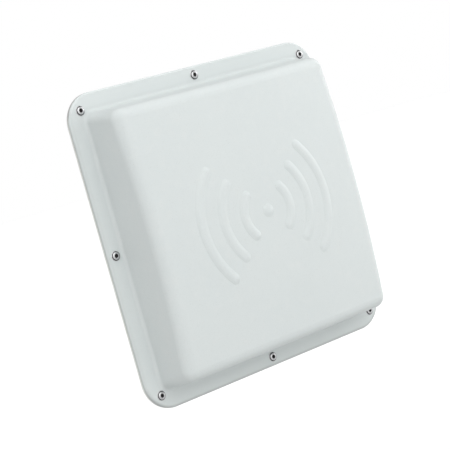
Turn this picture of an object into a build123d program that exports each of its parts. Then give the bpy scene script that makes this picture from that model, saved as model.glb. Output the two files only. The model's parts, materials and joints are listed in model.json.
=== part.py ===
from build123d import *
import os
from math import cos, hypot, radians, sqrt, tan
from typing import NamedTuple

# A flat panel antenna: a square back plate carries two stacked patch plates under a moulded
# radome, and a tilting bracket on its back clamps round a mast.
# X runs across the panel, the antenna faces -Y and Z is up. The origin lies on the mast's axis,
# level with the panel's centre. All sizes are in millimetres.

# ---- Driving dimensions ----------------------------------------------------------------------

# Panel outline, shared by the radome's flange, the gasket and the back plate
PANEL = 304.8
PANEL_CORNER_R = 29.5
FLANGE_T = 2.5
FLANGE_EDGE_R = 2.0
GASKET_T = 0.5
GASKET_INSET = 0.6
PLATE_T = 2.0
WEEP_D = 3.0
WEEP_X = 60.0
WEEP_Z = -128.0

# Dome of the radome, with a slightly crowned face
DOME_HALF = 134.3
DOME_DRAFT = radians(7.0)
DOME_HEIGHT = 55.2
DOME_FOOT_CORNER_R = 9.5
DOME_TOP_CORNER_R = 13.5
DOME_CROWN_R = 12.0
DOME_FOOT_R = 4.0
DOME_BLANK_H = 70.0
FACE_R = 1100.0
RADOME_WALL = 3.0

# Raised mark at the middle of the face: a dot between two sets of rounded arcs
MARK_ARC_RADII = (28.0, 52.0, 76.0)
MARK_ARC_SWEEP = 84.0
MARK_STROKE_R = 12.0
MARK_DOT_R = 18.0
MARK_RELIEF = 1.2

# Blind rivets round the flange
RIVET_CORNER = 137.2
RIVET_MIDDLE = 143.4
RIVET_D = 4.8
RIVET_HOLE_D = 4.9
RIVET_HEAD_D = 9.5
RIVET_HEAD_H = 1.5
RIVET_HEAD_EDGE = 0.35
RIVET_HEAD_FULLNESS = 0.76
RIVET_CORE_D = 2.9
RIVET_BULB_D = 7.0
RIVET_BULB_FOOT_D = 6.4
RIVET_BULB_END_D = 5.0
RIVET_BULB_H = 3.2
MANDREL_D = 2.8
MANDREL_RECESS = 2.0
MANDREL_HEAD_D = 3.8
MANDREL_HEAD_H = 1.6

# Patch plates and what carries them
PATCH_T = 1.6
PATCH_CORNER_R = 3.0
DRIVEN_SIZE = 146.0
DIRECTOR_SIZE = 126.0
DRIVEN_GAP = 14.0
DIRECTOR_GAP = 20.0
PATCH_SCREW_SPACING = 104.0
SPACER_D = 9.0
CENTRE_POST_D = 9.5
CENTRE_POST_TAIL_D = 7.0
CENTRE_POST_BORE = 9.0

# Feed strip, from the connector's pin to the driven patch
STRIP_W = 8.0
STRIP_T = 0.8
STRIP_LIFT = 6.0
STRIP_BEND_R = 7.0
FEED_Z = -40.0
FEED_TAB = 10.0
FEED_RIVET_D = 3.0
FEED_RIVET_HEAD_D = 5.6
FEED_RIVET_HEAD_H = 1.0
FEED_RIVET_TAPER = 30.0

# RF connector, a flanged type N jack, beside and below the bracket
JACK_X = -70.0
JACK_Z = -100.0
JACK_FLANGE = 25.4
JACK_FLANGE_T = 3.2
JACK_FLANGE_CORNER_R = 2.0
JACK_SCREW_SPACING = 18.26
JACK_GASKET_T = 1.0
JACK_TAIL_D = 12.7
JACK_TAIL_PLAY = 0.15
JACK_SHOULDER_D = 17.2
JACK_SHOULDER_H = 2.0
JACK_THREAD_D = 15.875
JACK_THREAD_L = 11.0
JACK_MOUTH_CHAMFER = 0.8
JACK_BORE_D = 8.6
JACK_SEAT_D = 8.2
JACK_BORE_DEPTH = 10.0
INSULATOR_TAIL = 2.0
CONTACT_D = 3.04
CONTACT_STEM_D = 2.4
CONTACT_PIN_D = 1.4
CONTACT_BORE_D = 1.65
CONTACT_BORE_DEPTH = 6.0
CONTACT_RECESS = 1.0
CONTACT_SLOT = 0.4

# Studs that carry the panel bracket
STUD_SPACING_X = 90.0
STUD_SPACING_Z = 66.0
STUD_L = 16.0
STUD_HEAD_D = 8.2
STUD_HEAD_H = 1.5

# Mast, and the reach from its front to the back plate
MAST_D = 50.8
MAST_GAP = 62.0

# Panel bracket and its tilt
BRACKET_W = 116.0
BRACKET_H = 92.0
BRACKET_T = 4.0
BRACKET_CORNER_R = 9.0
EAR_INNER = 25.0
EAR_T = 5.0
EAR_TOP = 22.0
EAR_BOTTOM = -40.0
EAR_ROOT_DEPTH = 1.0
EYE_R = 13.0
PIVOT_REACH = 29.4
LOCK_R = 24.0
LOCK_SLOT_W = 8.6
LOCK_SLOT_WALL = 5.0
TILT_RANGE = 20.0

# Mast bracket and clamp jaw
CLAMP_H = 60.0
CLAMP_W = 96.0
CLAMP_LIP = 12.0
WING_T = 12.0
JAW_WING_T = 10.0
JAW_WALL = 9.0
SADDLE_BACK = 40.0
SADDLE_HALF_W = 24.0
WING_CORNER_R = 3.0
LUG_T = 8.0
LUG_GAP = 0.1
LUG_LOCK_R = 12.0
LUG_ROOT_DEPTH = 10.0
LUG_ROOT_HALF_H = 25.0
CASTING_EDGE_R = 1.5
ROOT_R = 3.0
LUG_ROOT_R = 2.0
CLAMP_BOLT_X = 38.0
CLAMP_BOLT_L = 80.0
TILT_BOLT_L = 75.0

# Play round a pin or tail that is pressed, soldered or riveted in its hole, on the radius
PRESS_PLAY = 0.02
SOLDER_PLAY = 0.05


class Thread(NamedTuple):
    """A thread's diameter and clearance hole, and its nut's hexagon, height and bore."""

    d: float
    hole: float
    across_flats: float
    nut_h: float
    nut_bore: float


M3 = Thread(3.0, 3.2, 5.5, 2.4, 3.1)
M4 = Thread(4.0, 4.3, 7.0, 3.2, 4.1)
M6 = Thread(6.0, 6.6, 10.0, 5.2, 6.1)
M8 = Thread(8.0, 8.1, 13.0, 6.8, 8.1)
M3_PAN_D = 5.6
M3_PAN_H = 2.2
M4_PAN_D = 8.0
M4_PAN_H = 2.6
M6_WASHER_D = 12.0
M8_WASHER_D = 16.0
WASHER_T = 1.6
M8_HEAD_H = 5.3
PATCH_SCREW_L = 45.0
CENTRE_SCREW_L = 8.0
JACK_SCREW_L = 10.0
SPRING_WASHER_D = 12.8
SPRING_WASHER_T = 2.0
WASHER_PLAY = 0.4
HEX_CHAMFER = radians(30.0)
STUD_CHAMFER = 0.6
SPLIT_W = 1.0
SPLIT_SLANT = 20.0

# Proportions of bolts and screws: to the across-flats, thread diameter, head height, head diameter
HEX_LAND = 0.96
SHANK_CHAMFER = 0.1
PAN_ROUND = 0.7
CROSS_DEPTH = 0.55
CROSS_LENGTH = 0.55
CROSS_WIDTH = 0.13

# How near two surfaces lie to count as one when edges are picked
SEAM = 0.01

# ---- Where the layers lie along Y --------------------------------------------------------------

PLATE_BACK = -(MAST_D / 2 + MAST_GAP)
PLATE_FRONT = PLATE_BACK - PLATE_T
FLANGE_BACK = PLATE_FRONT - GASKET_T
FLANGE_FRONT = FLANGE_BACK - FLANGE_T
DRIVEN_BACK = PLATE_FRONT - DRIVEN_GAP
DRIVEN_FRONT = DRIVEN_BACK - PATCH_T
DIRECTOR_BACK = DRIVEN_FRONT - DIRECTOR_GAP
DIRECTOR_FRONT = DIRECTOR_BACK - PATCH_T
STRIP_BACK = PLATE_FRONT - STRIP_LIFT
BRACKET_REAR = PLATE_BACK + BRACKET_T
PIVOT_Y = PLATE_BACK + PIVOT_REACH
EAR_OUTER = EAR_INNER + EAR_T
LUG_OUTER = EAR_INNER - LUG_GAP
LUG_INNER = LUG_OUTER - LUG_T
JACK_SEAT = PLATE_BACK + JACK_GASKET_T
JACK_REAR = JACK_SEAT + JACK_FLANGE_T

# ---- Patterns, as (x, z) -------------------------------------------------------------------------


def corners(spacing_x, spacing_z, x=0.0, z=0.0):
    """The four corners of a rectangle centred on (x, z)."""
    return [(x + sx * spacing_x / 2, z + sz * spacing_z / 2) for sx in (-1, 1) for sz in (-1, 1)]


RIVET_POINTS = corners(2 * RIVET_CORNER, 2 * RIVET_CORNER) + [
    (-RIVET_MIDDLE, 0),
    (RIVET_MIDDLE, 0),
    (0, -RIVET_MIDDLE),
    (0, RIVET_MIDDLE),
]
PATCH_SCREW_POINTS = corners(PATCH_SCREW_SPACING, PATCH_SCREW_SPACING)
STUD_POINTS = corners(STUD_SPACING_X, STUD_SPACING_Z)
JACK_SCREW_POINTS = corners(JACK_SCREW_SPACING, JACK_SCREW_SPACING, JACK_X, JACK_Z)
CLAMP_BOLT_POINTS = [(-CLAMP_BOLT_X, 0), (CLAMP_BOLT_X, 0)]
WEEP_POINTS = [(-WEEP_X, WEEP_Z), (WEEP_X, WEEP_Z)]

# ---- Planes --------------------------------------------------------------------------------------


def facing_front(y, x=0.0, z=0.0):
    """Plane at (x, y, z) that faces -Y, with its own x along X and its own y along Z."""
    return Plane(origin=(x, y, z), x_dir=(1, 0, 0), z_dir=(0, -1, 0))


def facing_rear(y, x=0.0, z=0.0):
    """Plane at (x, y, z) that faces +Y, with its own y along Z."""
    return Plane(origin=(x, y, z), x_dir=(-1, 0, 0), z_dir=(0, 1, 0))


def facing_side(x, y, z):
    """Plane at (x, y, z) that faces away from the YZ plane, to whichever side x is on."""
    side = 1 if x > 0 else -1
    return Plane(origin=(x, y, z), x_dir=(0, side, 0), z_dir=(side, 0, 0))


def fronts(y, points):
    return [facing_front(y, x, z) for x, z in points]


def rears(y, points):
    return [facing_rear(y, x, z) for x, z in points]


# ---- Shapes used more than once ------------------------------------------------------------------


def domed_block(half, foot_y, height, foot_corner_r, top_corner_r, crown_r, face_r):
    """Square block with drafted walls, rising from foot_y towards -Y to a crowned face."""
    inset = DOME_BLANK_H * tan(DOME_DRAFT)
    with BuildPart() as block:
        with BuildSketch(facing_front(foot_y)):
            RectangleRounded(2 * half, 2 * half, foot_corner_r)
        with BuildSketch(facing_front(foot_y - DOME_BLANK_H)):
            RectangleRounded(2 * (half - inset), 2 * (half - inset), top_corner_r)
        loft(ruled=True)
        with Locations((0, foot_y - height + face_r, 0)):
            Sphere(face_r, rotation=(90, 0, 0), mode=Mode.INTERSECT)
        fillet(block.faces().sort_by(Axis.Y)[0].edges(), crown_r)
    return block.part


def raised_mark():
    """The mark's dot and arcs: a ball and round bars sunk in the face up to the relief."""
    face_y = FLANGE_FRONT - DOME_HEIGHT
    with BuildPart() as mark:
        with Locations((0, face_y + MARK_DOT_R - MARK_RELIEF, 0)):
            Sphere(MARK_DOT_R)
        for radius in MARK_ARC_RADII:
            sag = FACE_R - sqrt(FACE_R**2 - radius**2)
            arc_plane = facing_front(face_y + sag + MARK_STROKE_R - MARK_RELIEF)
            for middle in (0, 180):
                with BuildLine(arc_plane) as path:
                    CenterArc((0, 0), radius, middle - MARK_ARC_SWEEP / 2, MARK_ARC_SWEEP)
                with BuildSketch(Plane(origin=path.line @ 0, z_dir=path.line % 0)):
                    Circle(MARK_STROKE_R)
                sweep(path=path.line)
                with Locations(path.line @ 0, path.line @ 1):
                    Sphere(MARK_STROKE_R)
    return mark.part


def hex_prism(across_flats, height, both_ends):
    """Hexagonal prism on the XY plane with its corners turned off at the top, or at both ends."""
    corner = across_flats / 2 / cos(radians(30))
    land = HEX_LAND * across_flats / 2
    drop = (corner - land) * tan(HEX_CHAMFER)
    foot = [(0, 0), (land, 0), (corner, drop)] if both_ends else [(0, 0), (corner, 0)]
    with BuildPart() as prism:
        with BuildSketch():
            RegularPolygon(across_flats / 2, 6, major_radius=False)
        extrude(amount=height)
        with BuildSketch(Plane.XZ):
            Polygon(*foot, (corner, height - drop), (land, height), (0, height), align=None)
        revolve(axis=Axis.Z, mode=Mode.INTERSECT)
    return prism.part


def hex_bolt(thread, head_h, length):
    """Bolt with its head standing on the XY plane and its shank below."""
    head = hex_prism(thread.across_flats, head_h, both_ends=False)
    with BuildPart() as bolt:
        add(head)
        with BuildSketch():
            Circle(thread.d / 2)
        extrude(amount=-length)
        chamfer(bolt.faces().sort_by(Axis.Z)[0].edges(), SHANK_CHAMFER * thread.d)
    return bolt.part


def hex_nut(thread):
    """Nut standing on the XY plane."""
    body = hex_prism(thread.across_flats, thread.nut_h, both_ends=True)
    with BuildPart() as nut:
        add(body)
        Hole(thread.nut_bore / 2)
    return nut.part


def pan_screw(thread, head_d, head_h, length):
    """Screw with a domed, cross-recessed head on the XY plane and its shank below."""
    with BuildPart() as screw:
        Cylinder(head_d / 2, head_h, align=(Align.CENTER, Align.CENTER, Align.MIN))
        fillet(screw.faces().sort_by(Axis.Z)[-1].edges(), PAN_ROUND * head_h)
        with BuildSketch(Plane.XY.offset(head_h)):
            Rectangle(CROSS_LENGTH * head_d, CROSS_WIDTH * head_d)
            Rectangle(CROSS_WIDTH * head_d, CROSS_LENGTH * head_d)
        extrude(amount=-CROSS_DEPTH * head_h, mode=Mode.SUBTRACT)
        Cylinder(thread.d / 2, length, align=(Align.CENTER, Align.CENTER, Align.MAX))
        chamfer(screw.faces().sort_by(Axis.Z)[0].edges(), SHANK_CHAMFER * thread.d)
    return screw.part


def ring(inner_d, outer_d, height):
    """Flat ring or tube standing on the XY plane."""
    with BuildPart() as tube:
        with BuildSketch():
            Circle(outer_d / 2)
            Circle(inner_d / 2, mode=Mode.SUBTRACT)
        extrude(amount=height)
    return tube.part


def washer(thread, outer_d):
    return ring(thread.d + WASHER_PLAY, outer_d, WASHER_T)


def blind_rivet():
    """Set rivet: its domed head stands on the XY plane, its bulb is behind the whole stack."""
    core = RIVET_CORE_D / 2
    shank = RIVET_D / 2
    head = RIVET_HEAD_D / 2
    grip = FLANGE_T + GASKET_T + PLATE_T
    bulb_foot = (RIVET_BULB_FOOT_D / 2, -grip)
    bulb_middle = (RIVET_BULB_D / 2, -grip - RIVET_BULB_H / 2)
    bulb_end = (RIVET_BULB_END_D / 2, -grip - RIVET_BULB_H)
    dome_middle = ((head + core) / 2 + RIVET_HEAD_EDGE, RIVET_HEAD_FULLNESS * RIVET_HEAD_H)
    with BuildPart() as rivet:
        with BuildSketch(Plane.XZ):
            with BuildLine():
                Polyline((core, RIVET_HEAD_H), (core, -grip - RIVET_BULB_H), bulb_end)
                ThreePointArc(bulb_end, bulb_middle, bulb_foot)
                Polyline(bulb_foot, (shank, -grip), (shank, 0), (head, 0), (head, RIVET_HEAD_EDGE))
                ThreePointArc((head, RIVET_HEAD_EDGE), dome_middle, (core, RIVET_HEAD_H))
            make_face()
        revolve(axis=Axis.Z)
    return rivet.part


def mandrel():
    """Broken-off mandrel that stays in a set rivet, its ball end in the bulb."""
    tail = FLANGE_T + GASKET_T + PLATE_T + RIVET_BULB_H
    with BuildPart() as pin:
        with Locations((0, 0, RIVET_HEAD_H - MANDREL_RECESS)):
            length = tail + RIVET_HEAD_H - MANDREL_RECESS
            Cylinder(MANDREL_D / 2, length, align=(Align.CENTER, Align.CENTER, Align.MAX))
        with Locations((0, 0, -tail)):
            Cylinder(MANDREL_HEAD_D / 2, MANDREL_HEAD_H, align=(Align.CENTER, Align.CENTER, Align.MAX))
        fillet(pin.faces().sort_by(Axis.Z)[0].edges(), 0.5 * MANDREL_HEAD_H)
    return pin.part


def spring_washer(inner_d, outer_d, height):
    """Flat split ring standing on the XY plane."""
    with BuildPart() as split_ring:
        with BuildSketch():
            Circle(outer_d / 2)
            Circle(inner_d / 2, mode=Mode.SUBTRACT)
            with Locations((0, outer_d / 2)):
                Rectangle(SPLIT_W, outer_d / 2, mode=Mode.SUBTRACT, rotation=SPLIT_SLANT)
        extrude(amount=height)
    return split_ring.part


def ear_outline(low_r, root_near, root_far, root_bottom, root_top):
    """Side view, as (y, z): the hull of the pivot eye, the lock bolt's eye and the root."""
    root_middle = ((root_near + root_far) / 2, (root_bottom + root_top) / 2)
    with BuildSketch() as outline:
        with Locations((PIVOT_Y, 0)):
            Circle(EYE_R)
        with Locations((PIVOT_Y, -LOCK_R)):
            Circle(low_r)
        with Locations(root_middle):
            Rectangle(root_far - root_near, root_top - root_bottom)
        make_hull()
    return outline.sketch_local


def ear_edges(builder):
    """Edges round the outer faces of the panel bracket's ears, without those at the root."""
    side_faces = builder.faces().filter_by(Axis.X).filter_by(
        lambda face: abs(abs(face.center().X) - EAR_OUTER) < SEAM
    )
    edges = [edge for face in side_faces for edge in face.outer_wire().edges()]
    return [edge for edge in edges if edge.center().Y > BRACKET_REAR + SEAM]


def rim_edges(builder):
    """Edges of the top and bottom faces of a clamp casting, without those on the mast's seat."""
    end_faces = builder.faces().filter_by(Axis.Z)
    edges = [edge for face in end_faces for edge in face.outer_wire().edges()]
    return [edge for edge in edges if hypot((edge @ 0.5).X, (edge @ 0.5).Y) > MAST_D / 2 + SEAM]


def upright_edges(builder, half_width, y):
    """Edges along Z at X = +-half_width and the given Y."""
    edges = builder.edges().filter_by(Axis.Z).filter_by_position(Axis.Y, y - SEAM, y + SEAM)
    return edges.filter_by(lambda edge: abs(abs(edge.center().X) - half_width) < SEAM)


def write(builder, name):
    """Label a finished piece and write it as parts/NAME.step."""
    builder.part.label = name
    export_step(builder.part, f"parts/{name}.step")


# ---- Radome --------------------------------------------------------------------------------------

os.makedirs("parts", exist_ok=True)

outer_dome = domed_block(
    DOME_HALF,
    FLANGE_FRONT,
    DOME_HEIGHT,
    DOME_FOOT_CORNER_R,
    DOME_TOP_CORNER_R,
    DOME_CROWN_R,
    FACE_R,
)
inner_dome = domed_block(
    DOME_HALF - RADOME_WALL / cos(DOME_DRAFT) + FLANGE_T * tan(DOME_DRAFT),
    FLANGE_BACK,
    DOME_HEIGHT + FLANGE_T - RADOME_WALL,
    DOME_FOOT_CORNER_R - RADOME_WALL,
    DOME_TOP_CORNER_R - RADOME_WALL,
    DOME_CROWN_R - RADOME_WALL,
    FACE_R - RADOME_WALL,
)
mark_bars = raised_mark()

with BuildPart() as radome:
    with BuildSketch(facing_front(FLANGE_BACK)):
        RectangleRounded(PANEL, PANEL, PANEL_CORNER_R)
    extrude(amount=FLANGE_T)
    fillet(radome.faces().sort_by(Axis.Y)[0].edges(), FLANGE_EDGE_R)
    add(outer_dome)
    flange_edges = radome.edges().filter_by_position(Axis.Y, FLANGE_FRONT - SEAM, FLANGE_FRONT + SEAM)
    foot_edges = flange_edges.filter_by(
        lambda edge: max(abs(edge.center().X), abs(edge.center().Z)) < DOME_HALF + SEAM
    )
    fillet(foot_edges, DOME_FOOT_R)
    add(mark_bars)
    add(inner_dome, mode=Mode.SUBTRACT)
    with BuildSketch(facing_front(FLANGE_BACK)):
        with Locations(*RIVET_POINTS):
            Circle(RIVET_HOLE_D / 2)
    extrude(amount=FLANGE_T, mode=Mode.SUBTRACT)
write(radome, "radome")

# ---- Gasket and back plate -----------------------------------------------------------------------

with BuildPart() as perimeter_gasket:
    with BuildSketch(facing_front(PLATE_FRONT)):
        outside = PANEL - 2 * GASKET_INSET
        inside = 2 * DOME_HALF - 2 * RADOME_WALL
        RectangleRounded(outside, outside, PANEL_CORNER_R - GASKET_INSET)
        RectangleRounded(inside, inside, DOME_FOOT_CORNER_R, mode=Mode.SUBTRACT)
        with Locations(*RIVET_POINTS):
            Circle(RIVET_HOLE_D / 2, mode=Mode.SUBTRACT)
    extrude(amount=GASKET_T)
write(perimeter_gasket, "perimeter_gasket")

with BuildPart() as back_plate:
    with BuildSketch(facing_front(PLATE_BACK)):
        RectangleRounded(PANEL, PANEL, PANEL_CORNER_R)
        with Locations(*RIVET_POINTS):
            Circle(RIVET_HOLE_D / 2, mode=Mode.SUBTRACT)
        with Locations(*PATCH_SCREW_POINTS):
            Circle(M4.hole / 2, mode=Mode.SUBTRACT)
        with Locations(*STUD_POINTS):
            Circle(M6.d / 2 + PRESS_PLAY, mode=Mode.SUBTRACT)
        with Locations(*JACK_SCREW_POINTS):
            Circle(M3.hole / 2, mode=Mode.SUBTRACT)
        with Locations((JACK_X, JACK_Z)):
            Circle(JACK_TAIL_D / 2 + JACK_TAIL_PLAY, mode=Mode.SUBTRACT)
        with Locations(*WEEP_POINTS):
            Circle(WEEP_D / 2, mode=Mode.SUBTRACT)
        Circle(CENTRE_POST_TAIL_D / 2 + PRESS_PLAY, mode=Mode.SUBTRACT)
    extrude(amount=PLATE_T)
    with BuildSketch(facing_rear(PLATE_FRONT)):
        with Locations(*STUD_POINTS):
            Circle(STUD_HEAD_D / 2 + PRESS_PLAY)
    extrude(amount=STUD_HEAD_H, mode=Mode.SUBTRACT)
write(back_plate, "back_plate")

# ---- Rivets --------------------------------------------------------------------------------------

rivet_template = blind_rivet()
mandrel_template = mandrel()

with BuildPart() as flange_rivets:
    with Locations(*fronts(FLANGE_FRONT, RIVET_POINTS)):
        add(rivet_template)
write(flange_rivets, "flange_rivets")

with BuildPart() as rivet_mandrels:
    with Locations(*fronts(FLANGE_FRONT, RIVET_POINTS)):
        add(mandrel_template)
write(rivet_mandrels, "rivet_mandrels")

# ---- Patches, spacers and centre post ------------------------------------------------------------

with BuildPart() as driven_patch:
    with BuildSketch(facing_front(DRIVEN_BACK)):
        RectangleRounded(DRIVEN_SIZE, DRIVEN_SIZE, PATCH_CORNER_R)
        with Locations(*PATCH_SCREW_POINTS, (0, 0)):
            Circle(M4.hole / 2, mode=Mode.SUBTRACT)
        with Locations((0, FEED_Z + FEED_TAB / 2)):
            Circle(FEED_RIVET_D / 2 + SOLDER_PLAY, mode=Mode.SUBTRACT)
    extrude(amount=PATCH_T)
write(driven_patch, "driven_patch")

with BuildPart() as director_patch:
    with BuildSketch(facing_front(DIRECTOR_BACK)):
        RectangleRounded(DIRECTOR_SIZE, DIRECTOR_SIZE, PATCH_CORNER_R)
        with Locations(*PATCH_SCREW_POINTS):
            Circle(M4.hole / 2, mode=Mode.SUBTRACT)
    extrude(amount=PATCH_T)
write(director_patch, "director_patch")

driven_spacer = ring(M4.hole, SPACER_D, DRIVEN_GAP)
director_spacer = ring(M4.hole, SPACER_D, DIRECTOR_GAP)
patch_screw = pan_screw(M4, M4_PAN_D, M4_PAN_H, PATCH_SCREW_L)
patch_nut = hex_nut(M4)

with BuildPart() as driven_spacers:
    with Locations(*fronts(PLATE_FRONT, PATCH_SCREW_POINTS)):
        add(driven_spacer)
write(driven_spacers, "driven_spacers")

with BuildPart() as director_spacers:
    with Locations(*fronts(DRIVEN_FRONT, PATCH_SCREW_POINTS)):
        add(director_spacer)
write(director_spacers, "director_spacers")

with BuildPart() as patch_screws:
    with Locations(*rears(PLATE_BACK, PATCH_SCREW_POINTS)):
        add(patch_screw)
write(patch_screws, "patch_screws")

with BuildPart() as patch_nuts:
    with Locations(*fronts(DIRECTOR_FRONT, PATCH_SCREW_POINTS)):
        add(patch_nut)
write(patch_nuts, "patch_nuts")

with BuildPart() as centre_post:
    with BuildSketch(facing_front(PLATE_BACK)):
        Circle(CENTRE_POST_TAIL_D / 2)
    extrude(amount=PLATE_T)
    with BuildSketch(facing_front(PLATE_FRONT)):
        Circle(CENTRE_POST_D / 2)
    extrude(amount=DRIVEN_GAP)
    with BuildSketch(facing_rear(DRIVEN_BACK)):
        Circle(M4.nut_bore / 2)
    extrude(amount=CENTRE_POST_BORE, mode=Mode.SUBTRACT)
write(centre_post, "centre_post")

centre_screw = pan_screw(M4, M4_PAN_D, M4_PAN_H, CENTRE_SCREW_L)
with BuildPart() as centre_post_screw:
    with Locations(facing_front(DRIVEN_FRONT)):
        add(centre_screw)
write(centre_post_screw, "centre_post_screw")

# ---- Feed ----------------------------------------------------------------------------------------

with BuildPart() as feed_strip:
    with BuildSketch(facing_front(STRIP_BACK)):
        with BuildLine():
            FilletPolyline(
                (JACK_X - STRIP_W / 2, JACK_Z),
                (0, JACK_Z),
                (0, FEED_Z + STRIP_T),
                radius=STRIP_BEND_R,
            )
        trace(line_width=STRIP_W)
        with Locations((JACK_X, JACK_Z)):
            Circle(CONTACT_PIN_D / 2 + SOLDER_PLAY, mode=Mode.SUBTRACT)
    extrude(amount=STRIP_T)
    with BuildSketch(facing_front(STRIP_BACK)):
        with Locations((0, FEED_Z + STRIP_T / 2)):
            Rectangle(STRIP_W, STRIP_T)
    extrude(amount=DRIVEN_GAP - STRIP_LIFT)
    with BuildSketch(facing_front(DRIVEN_BACK + STRIP_T)):
        with Locations((0, FEED_Z + FEED_TAB / 2)):
            Rectangle(STRIP_W, FEED_TAB)
            Circle(FEED_RIVET_D / 2 + SOLDER_PLAY, mode=Mode.SUBTRACT)
    extrude(amount=STRIP_T)
write(feed_strip, "feed_strip")

with BuildPart() as feed_rivet:
    for seat in (
        facing_front(DRIVEN_FRONT, 0, FEED_Z + FEED_TAB / 2),
        facing_rear(DRIVEN_BACK + STRIP_T, 0, FEED_Z + FEED_TAB / 2),
    ):
        with BuildSketch(seat):
            Circle(FEED_RIVET_HEAD_D / 2)
        extrude(amount=FEED_RIVET_HEAD_H, taper=FEED_RIVET_TAPER)
    with BuildSketch(facing_front(DRIVEN_BACK + STRIP_T, 0, FEED_Z + FEED_TAB / 2)):
        Circle(FEED_RIVET_D / 2)
    extrude(amount=PATCH_T + STRIP_T)
write(feed_rivet, "feed_rivet")

# ---- RF connector --------------------------------------------------------------------------------

JACK_MOUTH = JACK_REAR + JACK_SHOULDER_H + JACK_THREAD_L
JACK_STEP = JACK_MOUTH - JACK_BORE_DEPTH

with BuildPart() as connector_shell:
    with BuildSketch(facing_rear(JACK_SEAT, JACK_X, JACK_Z)):
        RectangleRounded(JACK_FLANGE, JACK_FLANGE, JACK_FLANGE_CORNER_R)
        with GridLocations(JACK_SCREW_SPACING, JACK_SCREW_SPACING, 2, 2):
            Circle(M3.hole / 2, mode=Mode.SUBTRACT)
    extrude(amount=JACK_FLANGE_T)
    with BuildSketch(facing_front(JACK_SEAT, JACK_X, JACK_Z)):
        Circle(JACK_TAIL_D / 2)
    extrude(amount=JACK_GASKET_T + PLATE_T)
    with BuildSketch(facing_rear(JACK_REAR, JACK_X, JACK_Z)):
        Circle(JACK_SHOULDER_D / 2)
    extrude(amount=JACK_SHOULDER_H)
    with BuildSketch(facing_rear(JACK_REAR + JACK_SHOULDER_H, JACK_X, JACK_Z)):
        Circle(JACK_THREAD_D / 2)
    extrude(amount=JACK_THREAD_L)
    chamfer(connector_shell.faces().sort_by(Axis.Y)[-1].edges(), JACK_MOUTH_CHAMFER)
    with BuildSketch(facing_rear(PLATE_FRONT, JACK_X, JACK_Z)):
        Circle(JACK_SEAT_D / 2)
    extrude(amount=JACK_MOUTH - PLATE_FRONT, mode=Mode.SUBTRACT)
    with BuildSketch(facing_front(JACK_MOUTH, JACK_X, JACK_Z)):
        Circle(JACK_BORE_D / 2)
    extrude(amount=JACK_BORE_DEPTH, mode=Mode.SUBTRACT)
write(connector_shell, "connector_shell")

with BuildPart() as connector_insulator:
    with BuildSketch(facing_rear(PLATE_FRONT - INSULATOR_TAIL, JACK_X, JACK_Z)):
        Circle(JACK_SEAT_D / 2)
        Circle(CONTACT_STEM_D / 2, mode=Mode.SUBTRACT)
    extrude(amount=JACK_STEP - PLATE_FRONT + INSULATOR_TAIL)
write(connector_insulator, "connector_insulator")

with BuildPart() as connector_contact:
    with BuildSketch(facing_rear(JACK_STEP, JACK_X, JACK_Z)):
        Circle(CONTACT_D / 2)
    extrude(amount=JACK_BORE_DEPTH - CONTACT_RECESS)
    with BuildSketch(facing_front(JACK_MOUTH - CONTACT_RECESS, JACK_X, JACK_Z)):
        Circle(CONTACT_BORE_D / 2)
        Rectangle(CONTACT_D, CONTACT_SLOT)
        Rectangle(CONTACT_SLOT, CONTACT_D)
    extrude(amount=CONTACT_BORE_DEPTH, mode=Mode.SUBTRACT)
    with BuildSketch(facing_front(JACK_STEP, JACK_X, JACK_Z)):
        Circle(CONTACT_STEM_D / 2)
    extrude(amount=JACK_STEP - PLATE_FRONT + INSULATOR_TAIL)
    with BuildSketch(facing_front(PLATE_FRONT - INSULATOR_TAIL, JACK_X, JACK_Z)):
        Circle(CONTACT_PIN_D / 2)
    extrude(amount=STRIP_LIFT + 2 * STRIP_T - INSULATOR_TAIL)
write(connector_contact, "connector_contact")

with BuildPart() as connector_gasket:
    with BuildSketch(facing_rear(PLATE_BACK, JACK_X, JACK_Z)):
        RectangleRounded(JACK_FLANGE, JACK_FLANGE, JACK_FLANGE_CORNER_R)
        Circle(JACK_TAIL_D / 2 + JACK_TAIL_PLAY, mode=Mode.SUBTRACT)
        with GridLocations(JACK_SCREW_SPACING, JACK_SCREW_SPACING, 2, 2):
            Circle(M3.hole / 2, mode=Mode.SUBTRACT)
    extrude(amount=JACK_GASKET_T)
write(connector_gasket, "connector_gasket")

jack_screw = pan_screw(M3, M3_PAN_D, M3_PAN_H, JACK_SCREW_L)
jack_nut = hex_nut(M3)

with BuildPart() as connector_screws:
    with Locations(*rears(JACK_REAR, JACK_SCREW_POINTS)):
        add(jack_screw)
write(connector_screws, "connector_screws")

with BuildPart() as connector_nuts:
    with Locations(*fronts(PLATE_FRONT, JACK_SCREW_POINTS)):
        add(jack_nut)
write(connector_nuts, "connector_nuts")

# ---- Panel bracket and the studs that carry it ---------------------------------------------------

with BuildPart() as bracket_studs:
    with BuildSketch(*rears(PLATE_FRONT, STUD_POINTS)):
        Circle(STUD_HEAD_D / 2)
    extrude(amount=STUD_HEAD_H)
    with BuildSketch(*rears(PLATE_FRONT + STUD_HEAD_H, STUD_POINTS)):
        Circle(M6.d / 2)
    extrude(amount=PLATE_T - STUD_HEAD_H + STUD_L)
    chamfer(bracket_studs.edges().group_by(Axis.Y)[-1], STUD_CHAMFER)
write(bracket_studs, "bracket_studs")

stud_washer = washer(M6, M6_WASHER_D)
stud_nut = hex_nut(M6)

with BuildPart() as stud_washers:
    with Locations(*rears(BRACKET_REAR, STUD_POINTS)):
        add(stud_washer)
write(stud_washers, "stud_washers")

with BuildPart() as stud_nuts:
    with Locations(*rears(BRACKET_REAR + WASHER_T, STUD_POINTS)):
        add(stud_nut)
write(stud_nuts, "stud_nuts")

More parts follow.
